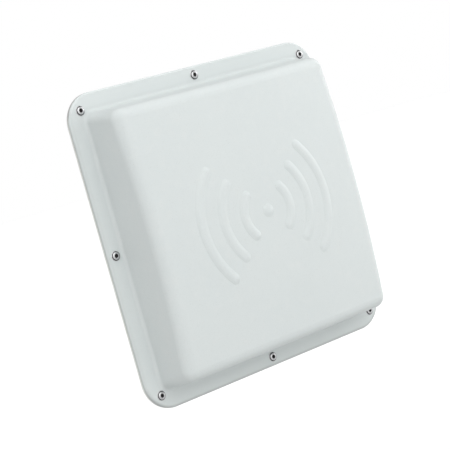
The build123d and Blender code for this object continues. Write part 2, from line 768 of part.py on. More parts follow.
slot_arc_start = -90 - TILT_RANGE
ear_profile = ear_outline(
    LOCK_SLOT_W / 2 + LOCK_SLOT_WALL,
    BRACKET_REAR - EAR_ROOT_DEPTH,
    BRACKET_REAR,
    EAR_BOTTOM,
    EAR_TOP,
)

with BuildPart() as panel_bracket:
    with BuildSketch(facing_rear(PLATE_BACK)):
        RectangleRounded(BRACKET_W, BRACKET_H, BRACKET_CORNER_R)
        with Locations(*STUD_POINTS):
            Circle(M6.hole / 2, mode=Mode.SUBTRACT)
    extrude(amount=BRACKET_T)
    fillet(panel_bracket.faces().sort_by(Axis.Y)[-1].outer_wire().edges(), CASTING_EDGE_R)
    for inner in (EAR_INNER, -EAR_OUTER):
        with BuildSketch(Plane.YZ.offset(inner)):
            add(ear_profile)
            with BuildLine():
                lock_arc = CenterArc((PIVOT_Y, 0), LOCK_R, slot_arc_start, 2 * TILT_RANGE)
            SlotArc(lock_arc, LOCK_SLOT_W + 2 * LOCK_SLOT_WALL)
            with Locations((PIVOT_Y, 0)):
                Circle(M8.hole / 2, mode=Mode.SUBTRACT)
            SlotArc(lock_arc, LOCK_SLOT_W, mode=Mode.SUBTRACT)
        extrude(amount=EAR_T)
    fillet(ear_edges(panel_bracket), CASTING_EDGE_R)
    for ear_side in (EAR_INNER, EAR_OUTER):
        fillet(upright_edges(panel_bracket, ear_side, BRACKET_REAR), ROOT_R)
write(panel_bracket, "panel_bracket")

# ---- Mast bracket --------------------------------------------------------------------------------

lug_profile = ear_outline(
    LUG_LOCK_R,
    -SADDLE_BACK,
    -SADDLE_BACK + LUG_ROOT_DEPTH,
    -LUG_ROOT_HALF_H,
    LUG_ROOT_HALF_H,
)


def lug(inner):
    """One lug of the mast bracket, from X = inner outwards along +X, all its edges rounded."""
    with BuildPart() as plate:
        with BuildSketch(Plane.YZ.offset(inner)):
            add(lug_profile)
            with Locations((PIVOT_Y, 0), (PIVOT_Y, -LOCK_R)):
                Circle(M8.hole / 2, mode=Mode.SUBTRACT)
        extrude(amount=LUG_T)
        for face in plate.faces().filter_by(Axis.X):
            fillet(face.outer_wire().edges(), CASTING_EDGE_R)
    return plate.part


lug_pair = [lug(LUG_INNER), lug(-LUG_OUTER)]

with BuildPart() as mast_bracket:
    with BuildSketch(Plane.XY.offset(-CLAMP_H / 2)):
        with Locations((0, -CLAMP_LIP - WING_T / 2)):
            RectangleRounded(CLAMP_W, WING_T, WING_CORNER_R)
        with Locations((0, -(CLAMP_LIP + SADDLE_BACK) / 2)):
            Rectangle(2 * SADDLE_HALF_W, SADDLE_BACK - CLAMP_LIP)
        Circle(MAST_D / 2, mode=Mode.SUBTRACT)
    extrude(amount=CLAMP_H)
    for corner_y in (-CLAMP_LIP - WING_T, -SADDLE_BACK):
        fillet(upright_edges(mast_bracket, SADDLE_HALF_W, corner_y), ROOT_R)
    fillet(rim_edges(mast_bracket), CASTING_EDGE_R)
    add(lug_pair)
    fillet(upright_edges(mast_bracket, LUG_INNER, -SADDLE_BACK), LUG_ROOT_R)
    with BuildSketch(facing_rear(-CLAMP_LIP)):
        with Locations(*CLAMP_BOLT_POINTS):
            Circle(M8.hole / 2)
    extrude(amount=-WING_T, mode=Mode.SUBTRACT)
write(mast_bracket, "mast_bracket")

tilt_bolt = hex_bolt(M8, M8_HEAD_H, TILT_BOLT_L)
tilt_nut = hex_nut(M8)
m8_washer = washer(M8, M8_WASHER_D)
tilt_heights = (0.0, -LOCK_R)
tilt_seat = EAR_OUTER + WASHER_T

with BuildPart() as pivot_bolt:
    with Locations(facing_side(-tilt_seat, PIVOT_Y, 0)):
        add(tilt_bolt)
write(pivot_bolt, "pivot_bolt")

with BuildPart() as lock_bolt:
    with Locations(facing_side(-tilt_seat, PIVOT_Y, -LOCK_R)):
        add(tilt_bolt)
write(lock_bolt, "lock_bolt")

with BuildPart() as tilt_washers:
    with Locations(*[facing_side(x, PIVOT_Y, z) for x in (-EAR_OUTER, EAR_OUTER) for z in tilt_heights]):
        add(m8_washer)
write(tilt_washers, "tilt_washers")

with BuildPart() as tilt_nuts:
    with Locations(*[facing_side(tilt_seat, PIVOT_Y, z) for z in tilt_heights]):
        add(tilt_nut)
write(tilt_nuts, "tilt_nuts")

# ---- Clamp ---------------------------------------------------------------------------------------

clamp_bolt = hex_bolt(M8, M8_HEAD_H, CLAMP_BOLT_L)
clamp_nut = hex_nut(M8)
m8_spring_washer = spring_washer(M8.hole, SPRING_WASHER_D, SPRING_WASHER_T)
jaw_rear = CLAMP_LIP + JAW_WING_T
spring_seat = jaw_rear + WASHER_T
nut_seat = spring_seat + SPRING_WASHER_T

with BuildPart() as clamp_bolts:
    with Locations(*fronts(-CLAMP_LIP - WING_T, CLAMP_BOLT_POINTS)):
        add(clamp_bolt)
write(clamp_bolts, "clamp_bolts")

with BuildPart() as clamp_jaw:
    with BuildSketch(Plane.XY.offset(-CLAMP_H / 2)):
        Circle(MAST_D / 2 + JAW_WALL)
        with Locations((0, CLAMP_LIP)):
            Rectangle(2 * MAST_D, 2 * MAST_D, align=(Align.CENTER, Align.MAX), mode=Mode.SUBTRACT)
        with Locations((0, CLAMP_LIP + JAW_WING_T / 2)):
            RectangleRounded(CLAMP_W, JAW_WING_T, WING_CORNER_R)
        Circle(MAST_D / 2, mode=Mode.SUBTRACT)
    extrude(amount=CLAMP_H)
    fillet(rim_edges(clamp_jaw), CASTING_EDGE_R)
    with BuildSketch(facing_front(CLAMP_LIP)):
        with Locations(*CLAMP_BOLT_POINTS):
            Circle(M8.hole / 2)
    extrude(amount=-JAW_WING_T, mode=Mode.SUBTRACT)
write(clamp_jaw, "clamp_jaw")

with BuildPart() as clamp_washers:
    with Locations(*rears(jaw_rear, CLAMP_BOLT_POINTS)):
        add(m8_washer)
write(clamp_washers, "clamp_washers")

with BuildPart() as clamp_spring_washers:
    with Locations(*rears(spring_seat, CLAMP_BOLT_POINTS)):
        add(m8_spring_washer)
write(clamp_spring_washers, "clamp_spring_washers")

with BuildPart() as clamp_nuts:
    with Locations(*rears(nut_seat, CLAMP_BOLT_POINTS)):
        add(clamp_nut)
write(clamp_nuts, "clamp_nuts")
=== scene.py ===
import json
from math import cos, pi, radians, sin

import bmesh
import bpy
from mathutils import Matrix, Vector


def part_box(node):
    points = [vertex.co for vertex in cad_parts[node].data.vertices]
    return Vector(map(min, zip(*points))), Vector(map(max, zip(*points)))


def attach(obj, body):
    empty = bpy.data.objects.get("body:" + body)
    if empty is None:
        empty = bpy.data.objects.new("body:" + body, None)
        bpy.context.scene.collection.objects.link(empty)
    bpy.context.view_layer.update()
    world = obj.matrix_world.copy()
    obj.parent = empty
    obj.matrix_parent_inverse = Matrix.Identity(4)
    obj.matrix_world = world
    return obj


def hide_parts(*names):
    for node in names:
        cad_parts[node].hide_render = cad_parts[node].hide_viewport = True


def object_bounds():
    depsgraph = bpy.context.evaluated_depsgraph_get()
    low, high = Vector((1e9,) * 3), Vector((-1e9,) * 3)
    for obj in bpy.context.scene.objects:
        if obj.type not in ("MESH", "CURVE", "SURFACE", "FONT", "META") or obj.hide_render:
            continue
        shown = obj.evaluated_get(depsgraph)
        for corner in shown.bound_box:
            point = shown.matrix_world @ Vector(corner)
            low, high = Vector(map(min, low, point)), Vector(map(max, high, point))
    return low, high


MM = 0.001

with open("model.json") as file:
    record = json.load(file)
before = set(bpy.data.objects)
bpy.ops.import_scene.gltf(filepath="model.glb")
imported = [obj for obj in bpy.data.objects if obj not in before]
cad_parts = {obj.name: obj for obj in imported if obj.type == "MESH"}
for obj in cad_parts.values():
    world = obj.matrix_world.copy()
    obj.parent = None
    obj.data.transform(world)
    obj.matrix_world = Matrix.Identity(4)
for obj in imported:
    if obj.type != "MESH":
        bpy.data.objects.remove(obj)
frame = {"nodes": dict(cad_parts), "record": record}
nodes = frame["nodes"]
cad_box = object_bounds()


# ---- Procedural surfaces -------------------------------------------------------------------------


class Surface:
    """A material: a Principled shader with tint, roughness and relief made from noise."""

    def __init__(self, name, color, roughness, metallic=0.0, specular=0.5):
        self.material = bpy.data.materials.new(name)
        self.material.use_nodes = True
        self.tree = self.material.node_tree
        self.shader = self.tree.nodes["Principled BSDF"]
        self.set("Base Color", (*color, 1.0))
        self.set("Roughness", roughness)
        self.set("Metallic", metallic)
        self.set("Specular IOR Level", specular)
        self.tint = None
        self.color = color
        self.relief = None

    def set(self, socket, value):
        self.shader.inputs[socket].default_value = value

    def node(self, kind, **inputs):
        made = self.tree.nodes.new(kind)
        for key, value in inputs.items():
            made.inputs[key].default_value = value
        return made

    def join(self, source, target):
        self.tree.links.new(source, target)

    def place(self, stretch=(1.0, 1.0, 1.0)):
        """Object coordinates in metres, stretched along each axis."""
        place = self.node("ShaderNodeTexCoord")
        stretched = self.node("ShaderNodeMapping", Scale=stretch)
        self.join(place.outputs["Object"], stretched.inputs["Vector"])
        return stretched.outputs["Vector"]

    def height(self):
        """Height in metres."""
        split = self.node("ShaderNodeSeparateXYZ")
        self.join(self.place(), split.inputs["Vector"])
        return split.outputs["Z"]

    def beyond(self, half):
        """Distance in metres, across Y, from a square round the origin with sides of twice half."""
        value = self.place((1.0, 0.0, 1.0))
        for operation, by in (("ABSOLUTE", 0.0), ("SUBTRACT", half), ("MAXIMUM", 0.0), ("LENGTH", 0.0)):
            step = self.node("ShaderNodeVectorMath")
            step.operation = operation
            step.inputs[1].default_value = (by, by, by)
            self.join(value, step.inputs[0])
            value = step.outputs["Value" if operation == "LENGTH" else "Vector"]
        return value

    def both(self, one, other):
        """The product of two masks."""
        made = self.node("ShaderNodeMath")
        made.operation = "MULTIPLY"
        self.join(one, made.inputs[0])
        self.join(other, made.inputs[1])
        return made.outputs["Value"]

    def noise(self, size, detail=3.0, rough=0.55, stretch=(1.0, 1.0, 1.0)):
        """Noise from 0 to 1 with features about size metres across."""
        noise = self.node("ShaderNodeTexNoise", Scale=1.0 / size, Detail=detail, Roughness=rough)
        self.join(self.place(stretch), noise.inputs["Vector"])
        return noise.outputs["Fac"]

    def cells(self, size):
        """Distance to the nearest of scattered points size metres apart."""
        cells = self.node("ShaderNodeTexVoronoi", Scale=1.0 / size)
        self.join(self.place(), cells.inputs["Vector"])
        return cells.outputs["Distance"]

    def range(self, value, low, high, to_low=0.0, to_high=1.0):
        """Stretches low..high to to_low..to_high and holds it there."""
        made = self.node(
            "ShaderNodeMapRange",
            **{"From Min": low, "From Max": high, "To Min": to_low, "To Max": to_high},
        )
        self.join(value, made.inputs["Value"])
        return made.outputs["Result"]

    def occlusion(self, reach, inside):
        """How open a point is to its surroundings within reach metres, from 0 to 1."""
        occlusion = self.node("ShaderNodeAmbientOcclusion", Distance=reach)
        occlusion.samples = 6
        occlusion.inside = inside
        return occlusion.outputs["AO"]

    def edges(self, reach, low=0.62, high=0.92):
        """1 along convex edges, fading to 0 about reach metres away from them."""
        return self.range(self.occlusion(reach, True), high, low)

    def crevices(self, reach, low=0.55, high=0.95):
        """1 in corners and seams closer than reach metres to another surface, 0 in the open."""
        return self.range(self.occlusion(reach, False), high, low)

    def stain(self, fac, color, amount=1.0):
        """Mixes a colour over the tint so far."""
        mix = self.node("ShaderNodeMixRGB")
        self.join(self.range(fac, 0.0, 1.0, 0.0, amount), mix.inputs["Fac"])
        mix.inputs["Color1"].default_value = (*self.color, 1.0)
        mix.inputs["Color2"].default_value = (*color, 1.0)
        if self.tint is not None:
            self.join(self.tint, mix.inputs["Color1"])
        self.tint = mix.outputs["Color"]
        self.join(self.tint, self.shader.inputs["Base Color"])

    def gloss(self, fac, low, high):
        """Roughness from low to high."""
        self.join(self.range(fac, 0.0, 1.0, low, high), self.shader.inputs["Roughness"])

    def bump(self, height, depth, strength=1.0):
        """Relief on top of the relief so far: height from 0 to 1 stands for depth metres."""
        bump = self.node("ShaderNodeBump", Strength=strength, Distance=depth)
        self.join(height, bump.inputs["Height"])
        if self.relief is not None:
            self.join(self.relief, bump.inputs["Normal"])
        self.relief = bump.outputs["Normal"]
        self.join(self.relief, self.shader.inputs["Normal"])


# The panel's outline is a square of FLANGE_CORE to each side, widened by FLANGE_CORNER all round
FLANGE_CORE = 122.9 * MM
FLANGE_CORNER = 29.5 * MM
# Half heights between which the dome's foot gives way to the flat flange
DOME_FOOT, FLANGE_INNER = 137.0 * MM, 140.5 * MM


def radome_plastic():
    """Semi-matte moulded plastic: spark-eroded grain, faint flow marks, fine dust and mottling.

    The colour also holds painted light and shade. The flange above the dome is painted lighter, as if
    lit from above. The flange below it is painted darker, as the dome's shadow. The rim at the sides
    and the bottom is painted darker, with a darker line along the bottom edge, as shade where the rim
    turns from the light."""
    s = Surface("radome_plastic", (0.520, 0.554, 0.550), 0.5, specular=0.35)
    s.stain(s.range(s.noise(90 * MM), 0.35, 0.7), (0.505, 0.541, 0.540), 0.6)
    s.stain(s.range(s.noise(9 * MM, 5.0), 0.5, 0.75), (0.548, 0.572, 0.563), 0.4)
    s.stain(s.range(s.noise(1.1 * MM, 3.0), 0.56, 0.70), (0.455, 0.478, 0.470), 0.4)
    s.stain(s.range(s.cells(5.5 * MM), 0.075, 0.03), (0.36, 0.37, 0.36), 0.45)
    # Painted light: the flange above the dome is lighter, as if lit from above
    s.stain(s.range(s.height(), DOME_FOOT, FLANGE_INNER), (0.550, 0.585, 0.582), 0.9)
    # Painted shadow: the flange below the dome is darker, as in the dome's shadow
    s.stain(s.range(s.height(), -DOME_FOOT, -FLANGE_INNER), (0.478, 0.510, 0.506), 0.7)
    # Painted shade: the outer 4 mm of the rim is darker at the sides and the bottom, as where it turns
    # from the light
    out = s.beyond(FLANGE_CORE)
    rim = s.range(out, FLANGE_CORNER - 4 * MM, FLANGE_CORNER)
    s.stain(s.both(rim, s.range(s.height(), 140 * MM, 100 * MM)), (0.40, 0.425, 0.42), 0.48)
    # Painted shade: a darker line along the bottom edge of the flange
    line = s.range(out, FLANGE_CORNER - 2.8 * MM, FLANGE_CORNER - 0.4 * MM)
    s.stain(s.both(line, s.range(s.height(), -124 * MM, -144 * MM)), (0.30, 0.312, 0.308), 0.8)
    s.gloss(s.noise(25 * MM, 4.0), 0.42, 0.60)
    s.bump(s.noise(0.6 * MM, 2.0), 0.045 * MM)
    s.bump(s.noise(2.6 * MM, 2.0), 0.04 * MM, 0.7)
    s.bump(s.noise(60 * MM, 1.0), 0.25 * MM, 0.6)
    return s.material


def gasket_rubber():
    """Grey closed-cell foam with its skin of small cells."""
    s = Surface("gasket_rubber", (0.17, 0.17, 0.175), 0.85, specular=0.3)
    s.stain(s.range(s.cells(0.5 * MM), 0.1, 0.5), (0.25, 0.25, 0.255), 0.6)
    s.stain(s.range(s.noise(12 * MM), 0.4, 0.7), (0.13, 0.13, 0.135), 0.5)
    s.bump(s.cells(0.5 * MM), 0.12 * MM)
    return s.material


def plate_aluminium():
    """Passivated sheet: rolling grain along X, handling scratches, pale blotches, dull cut edge."""
    s = Surface("plate_aluminium", (0.72, 0.72, 0.70), 0.42, metallic=1.0)
    grain = s.noise(0.45 * MM, 4.0, stretch=(0.02, 1.0, 1.0))
    scratches = s.range(s.noise(0.9 * MM, 2.0, stretch=(0.05, 1.0, 0.4)), 0.66, 0.72)
    s.stain(s.range(s.noise(35 * MM, 4.0), 0.4, 0.7), (0.66, 0.665, 0.62), 0.7)
    s.stain(s.range(grain, 0.3, 0.7), (0.80, 0.80, 0.79), 0.35)
    # Painted shade: darker in corners and along seams with other parts
    s.stain(s.crevices(4 * MM), (0.42, 0.41, 0.38), 0.45)
    out = s.beyond(FLANGE_CORE)
    metal = s.range(out, FLANGE_CORNER - 0.8 * MM, FLANGE_CORNER - 0.2 * MM, 1.0, 0.55)
    s.join(metal, s.shader.inputs["Metallic"])
    s.gloss(s.noise(6 * MM, 5.0), 0.34, 0.55)
    s.bump(grain, 0.010 * MM)
    s.bump(scratches, 0.010 * MM, 0.6)
    return s.material


def rivet_aluminium():
    """Cold-headed aluminium, dulled and scuffed by the setting tool, with painted shade round its rim.
    """
    s = Surface("rivet_aluminium", (0.50, 0.505, 0.51), 0.45, metallic=1.0)
    s.stain(s.range(s.noise(1.6 * MM, 4.0), 0.4, 0.7), (0.39, 0.395, 0.40), 0.6)
    # Painted shade: near black in tight corners, as round the head where it meets the flange
    s.stain(s.crevices(0.9 * MM, 0.45, 0.9), (0.10, 0.10, 0.105), 0.9)
    s.gloss(s.noise(0.8 * MM, 4.0), 0.28, 0.46)
    s.bump(s.noise(0.35 * MM, 3.0), 0.012 * MM)
    return s.material


def rivet_painted_shade():
    """Near-black painted shade in a rivet's bore, under its rim and in a ring on its head."""
    s = Surface("rivet_painted_shade", (0.024, 0.024, 0.026), 0.75, specular=0.25)
    s.stain(s.range(s.noise(0.4 * MM, 3.0), 0.4, 0.7), (0.055, 0.054, 0.052), 0.6)
    s.bump(s.noise(0.25 * MM, 3.0), 0.03 * MM)
    return s.material


def mandrel_steel():
    """Phosphated steel, rough and grey where the pin broke; its near-black base is partly painted shade
    at the bottom of a rivet's bore.
    """
    s = Surface("mandrel_steel", (0.018, 0.018, 0.017), 0.65, specular=0.25)
    s.stain(s.range(s.noise(0.5 * MM, 4.0), 0.45, 0.7), (0.05, 0.048, 0.045), 0.5)
    s.bump(s.noise(0.3 * MM, 4.0), 0.08 * MM)
    return s.material


def patch_aluminium():
    """Bare sheet with a fine grain along Z and finger marks."""
    s = Surface("patch_aluminium", (0.78, 0.78, 0.785), 0.32, metallic=1.0)
    grain = s.noise(0.35 * MM, 4.0, stretch=(1.0, 1.0, 0.02))
    s.stain(s.range(s.noise(18 * MM, 4.0), 0.45, 0.7), (0.70, 0.70, 0.70), 0.5)
    s.gloss(s.noise(9 * MM, 5.0), 0.24, 0.42)
    s.bump(grain, 0.008 * MM)
    return s.material


def nylon():
    """Natural nylon, waxy and slightly see-through."""
    s = Surface("nylon", (0.80, 0.77, 0.68), 0.38)
    s.set("Subsurface Weight", 0.35)
    s.set("Subsurface Scale", 2.0 * MM)
    s.stain(s.range(s.noise(3 * MM), 0.4, 0.7), (0.74, 0.70, 0.60), 0.5)
    s.gloss(s.noise(1.5 * MM), 0.3, 0.48)
    s.bump(s.noise(0.4 * MM), 0.01 * MM)
    return s.material


def post_aluminium():
    """Turned bar with the tool's fine rings round Y."""
    s = Surface("post_aluminium", (0.74, 0.75, 0.76), 0.3, metallic=1.0)
    s.stain(s.range(s.noise(2 * MM, 4.0), 0.45, 0.7), (0.62, 0.63, 0.64), 0.5)
    s.gloss(s.noise(1.2 * MM, 3.0), 0.22, 0.4)
    s.bump(s.noise(0.18 * MM, 1.0, stretch=(0.02, 1.0, 0.02)), 0.02 * MM)
    return s.material


def feed_brass():
    """Rolled brass strip, tarnished in patches."""
    s = Surface("feed_brass", (0.72, 0.53, 0.24), 0.3, metallic=1.0)
    s.stain(s.range(s.noise(7 * MM, 5.0), 0.42, 0.68), (0.48, 0.33, 0.15), 0.6)
    s.stain(s.edges(0.25 * MM), (0.85, 0.68, 0.38), 0.5)
    s.gloss(s.noise(3 * MM, 4.0), 0.22, 0.48)
    s.bump(s.noise(0.3 * MM, 3.0, stretch=(0.1, 1.0, 1.0)), 0.008 * MM)
    return s.material


def nickel_plate():
    """Satin nickel over turned brass, with fine rings round Y and worn crests."""
    s = Surface("nickel_plate", (0.68, 0.65, 0.59), 0.24, metallic=1.0)
    s.stain(s.range(s.noise(4 * MM, 4.0), 0.45, 0.7), (0.60, 0.56, 0.50), 0.6)
    s.stain(s.edges(0.4 * MM), (0.80, 0.77, 0.70), 0.5)
    # Painted shade: darker in corners and grooves
    s.stain(s.crevices(1.2 * MM), (0.22, 0.20, 0.17), 0.55)
    s.gloss(s.noise(1.5 * MM, 4.0), 0.16, 0.36)
    s.bump(s.noise(0.2 * MM, 1.0, stretch=(0.05, 1.0, 0.05)), 0.006 * MM)
    return s.material


def ptfe():
    """Turned PTFE, waxy white."""
    s = Surface("ptfe", (0.86, 0.86, 0.83), 0.42)
    s.set("Subsurface Weight", 0.4)
    s.set("Subsurface Scale", 1.5 * MM)
    s.stain(s.range(s.noise(2 * MM), 0.45, 0.7), (0.80, 0.79, 0.74), 0.5)
    s.gloss(s.noise(1 * MM), 0.34, 0.5)
    s.bump(s.noise(0.2 * MM, 1.0), 0.012 * MM)
    return s.material


def gold_plate():
    """Hard gold over a turned pin, rubbed at its mouth."""
    s = Surface("gold_plate", (0.90, 0.66, 0.28), 0.2, metallic=1.0)
    s.stain(s.range(s.noise(1.2 * MM, 4.0), 0.5, 0.75), (0.78, 0.56, 0.26), 0.5)
    s.stain(s.edges(0.2 * MM), (0.95, 0.78, 0.45), 0.5)
    s.gloss(s.noise(0.6 * MM, 3.0), 0.12, 0.3)
    s.bump(s.noise(0.15 * MM, 1.0), 0.004 * MM)
    return s.material


def cast_aluminium():
    """Die-cast and tumbled: fine pebbled skin, small pits, rubbed edges, painted shade in hollows."""
    s = Surface("cast_aluminium", (0.50, 0.505, 0.51), 0.5, metallic=1.0)
    pits = s.range(s.cells(2.4 * MM), 0.16, 0.02)
    s.stain(s.range(s.noise(14 * MM, 5.0), 0.4, 0.7), (0.42, 0.425, 0.43), 0.8)
    s.stain(s.range(s.noise(1.3 * MM, 4.0), 0.4, 0.7), (0.58, 0.585, 0.59), 0.5)
    # Painted shade: darker in hollows and inside corners
    s.stain(s.crevices(6 * MM, 0.4, 0.9), (0.26, 0.26, 0.26), 0.6)
    s.stain(s.edges(1.6 * MM), (0.70, 0.705, 0.71), 0.7)
    s.stain(pits, (0.24, 0.24, 0.24), 0.5)
    s.gloss(s.noise(3 * MM, 5.0), 0.38, 0.62)
    s.bump(s.noise(0.9 * MM, 4.0), 0.09 * MM)
    s.bump(pits, -0.08 * MM)
    return s.material


def stainless_steel():
    """Cold-formed stainless: faint draw lines, small dents, painted shade in the thread roots and
    corners.
    """
    s = Surface("stainless_steel", (0.60, 0.595, 0.58), 0.3, metallic=1.0)
    s.stain(s.range(s.noise(5 * MM, 4.0), 0.42, 0.7), (0.50, 0.495, 0.48), 0.6)
    s.stain(s.edges(0.5 * MM), (0.76, 0.755, 0.74), 0.5)
    # Painted shade: darker in thread roots and corners
    s.stain(s.crevices(1.0 * MM, 0.35, 0.85), (0.16, 0.155, 0.145), 0.6)
    s.gloss(s.noise(2 * MM, 5.0), 0.2, 0.44)
    s.bump(s.noise(0.5 * MM, 4.0), 0.014 * MM)
    return s.material


SURFACES = (
    radome_plastic,
    gasket_rubber,
    plate_aluminium,
    rivet_aluminium,
    mandrel_steel,
    patch_aluminium,
    nylon,
    post_aluminium,
    feed_brass,
    nickel_plate,
    ptfe,
    gold_plate,
    cast_aluminium,
    stainless_steel,
)
materials = {make.__name__: make() for make in SURFACES}
painted_shade_material = rivet_painted_shade()
slots = {part["node"]: part["material_slot"] for part in frame["record"]["subparts"]}
bodies = frame["record"]["behaviour"]["bodies"]
body_of = {node: body for body, members in bodies.items() for node in members}

for node, slot in slots.items():
    mesh = nodes[node].data
    mesh.materials.clear()
    mesh.materials.append(materials[slot])


# ---- Pieces that take a CAD node's place ---------------------------------------------------------

AXES = {"X": Vector((1, 0, 0)), "Y": Vector((0, 1, 0))}
SMOOTH_ANGLE = radians(32)


def islands(form):
    """The separate solids of a mesh, each a list of its vertices, always in the same order."""
    seen = set()
    found = []
    for first in form.verts:
        if first in seen:
            continue
        seen.add(first)
        island = [first]
        for vert in island:
            for near in (v for edge in vert.link_edges for v in edge.verts):
                if near not in seen:
                    seen.add(near)
                    island.append(near)
        found.append(island)
    return found


def middle(points):
    """Centre of the box round some points."""
    low = Vector([min(p[i] for p in points) for i in range(3)])
    high = Vector([max(p[i] for p in points) for i in range(3)])
    return (low + high) / 2


def copy_of(node):
    """A CAD node's mesh, with the points that its faces share joined."""
    form = bmesh.new()
    form.from_mesh(nodes[node].data)
    bmesh.ops.remove_doubles(form, verts=form.verts, dist=0.0005 * MM)
    return form


def stand_in(name, node, form, surfaces):
    """Makes a piece from a mesh in place of a CAD node and on its body."""
    bmesh.ops.recalc_face_normals(form, faces=form.faces)
    mesh = bpy.data.meshes.new(name)
    form.to_mesh(mesh)
    form.free()
    mesh.polygons.foreach_set("use_smooth", [True] * len(mesh.polygons))
    mesh.set_sharp_from_angle(angle=SMOOTH_ANGLE)
    for surface in surfaces:
        mesh.materials.append(surface)
    piece = bpy.data.objects.new(name, mesh)
    bpy.context.scene.collection.objects.link(piece)
    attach(piece, body_of[node])
    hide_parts(node)


# Where the crest and the root of a thread start and end, as parts of its pitch
THREAD_TURN = ((0.0, 0.0), (0.125, 0.0), (0.4375, 1.0), (0.6875, 1.0))
THREAD_DEPTH = 0.6


def cut_thread(form, start, along, across, length, radius, pitch, plain, segments):
    """Closes the space of a plain shank with a right-hand thread, after a plain length."""
    side = along.cross(across)
    rows = []
    steps = len(THREAD_TURN)
    turns = int((length - plain) / pitch) + 2

    def point(turn, height, depth, step):
        angle = 2 * pi * step / segments
        at = (turn - 1 + height + step / segments) * pitch
        at = min(max(at, 0.0), length - plain)
        fade = min(at / pitch, (length - plain - at) / pitch, 1.0)
        r = radius - depth * THREAD_DEPTH * pitch * max(fade, 0.0)
        return start + along * (plain + at) + (across * cos(angle) + side * sin(angle)) * r

    for turn in range(turns):
        for height, depth in THREAD_TURN:
            rows.append([form.verts.new(point(turn, height, depth, s)) for s in range(segments)])
    for row in range(len(rows) - 1):
        this, below = rows[row], rows[row + 1]
        for s in range(segments - 1):
            form.faces.new((this[s], this[s + 1], below[s + 1], below[s]))
        if row + 1 + steps < len(rows):
            next_this, next_below = rows[row + steps], rows[row + 1 + steps]
            form.faces.new((this[-1], next_this[0], next_below[0], below[-1]))
    if plain > 0.0:
        angles = [2 * pi * s / segments for s in range(segments)]
        spin = [across * cos(angle) + side * sin(angle) for angle in angles]
        near = [form.verts.new(start + d * radius) for d in spin]
        far = [form.verts.new(start + along * plain + d * radius) for d in spin]
        for s in range(segments):
            form.faces.new((near[s - 1], near[s], far[s], far[s - 1]))


def threaded(name, node, axis, radius, pitch, thread_length):
    """A copy of a CAD node whose plain shank along an axis becomes a real thread at its tip."""
    along = AXES[axis]
    form = copy_of(node)
    for island in islands(form):
        centre = middle([v.co for v in island])

        def height(vert):
            return (vert.co - centre).dot(along)

        def outward(vert):
            return vert.co - centre - along * height(vert)

        shank = [v for v in island if abs(outward(v).length - radius) < 0.01 * MM]
        low, high = min(map(height, shank)), max(map(height, shank))
        rim = [v for v in shank if height(v) - low < 0.01 * MM]
        across = outward(rim[0]).normalized()
        start = centre + along * low
        plain = max(high - low - thread_length, 0.0)
        round_shank = set(shank)
        faces = [f for f in form.faces if round_shank.issuperset(f.verts)]
        bmesh.ops.delete(form, geom=faces, context="FACES")
        cut_thread(form, start, along, across, high - low, radius, pitch, plain, len(rim))
    bmesh.ops.remove_doubles(form, verts=form.verts, dist=0.002 * MM)
    stand_in(name, node, form, [materials[slots[node]]])


def turned(form, centre, along, profile, segments=48):
    """A closed ring turned round an axis from a profile of (radius, height, material index)."""
    across = Vector((0, 0, 1))
    side = along.cross(across)
    angles = [2 * pi * s / segments for s in range(segments)]
    spin = [across * cos(angle) + side * sin(angle) for angle in angles]
    rings = []
    for radius, height, _ in profile:
        rings.append([form.verts.new(centre + along * height + d * radius) for d in spin])
    for i, (_, _, surface) in enumerate(profile):
        ring, following = rings[i], rings[(i + 1) % len(rings)]
        for s in range(segments):
            face = form.faces.new((ring[s - 1], ring[s], following[s], following[s - 1]))
            face.material_index = surface


FLANGE_T = 2.5 * MM
HEAD_R = 4.75 * MM
BORE_R = 1.42 * MM
SHANK_R = 2.4 * MM
BULB_R = 3.5 * MM
# Material indices of a rivet's faces: its metal, then near-black painted shade
BRIGHT, PAINTED_SHADE = 0, 1


def rivet_profile(top, bottom, grip):
    """Section of a set blind rivet, from its rim over the head, down the bore and up the bulb."""
    # Faces with the second index take near-black painted shade: under the rim, a ring on the head, the
    # bore and faces hidden behind the plate
    head = [
        (HEAD_R - 0.25 * MM, 0.0, PAINTED_SHADE),
        (HEAD_R - 0.05 * MM, 0.04 * MM, BRIGHT),
        (HEAD_R, 0.12 * MM, BRIGHT),
        (HEAD_R - 0.10 * MM, 0.26 * MM, BRIGHT),
        (HEAD_R - 0.40 * MM, 0.38 * MM, PAINTED_SHADE),
        (HEAD_R - 0.62 * MM, 0.72 * MM, PAINTED_SHADE),
        (HEAD_R - 1.10 * MM, 1.08 * MM, BRIGHT),
        (HEAD_R - 1.60 * MM, 1.28 * MM, BRIGHT),
        (HEAD_R - 2.10 * MM, 1.41 * MM, BRIGHT),
        (BORE_R + 0.74 * MM, top, BRIGHT),
        (BORE_R + 0.58 * MM, top - 0.05 * MM, PAINTED_SHADE),
        (BORE_R + 0.16 * MM, top - 0.40 * MM, PAINTED_SHADE),
        (BORE_R, top - 0.80 * MM, PAINTED_SHADE),
    ]
    bulb = [
        (BORE_R, bottom, BRIGHT),
        (BULB_R - 1.0 * MM, bottom, BRIGHT),
        (BULB_R - 0.25 * MM, bottom + 0.7 * MM, BRIGHT),
        (BULB_R, (bottom - grip) / 2, BRIGHT),
        (BULB_R - 0.15 * MM, -grip - 0.4 * MM, BRIGHT),
        (BULB_R - 0.35 * MM, -grip, PAINTED_SHADE),
        (SHANK_R, -grip, PAINTED_SHADE),
        (SHANK_R, 0.0, PAINTED_SHADE),
    ]
    return head + bulb


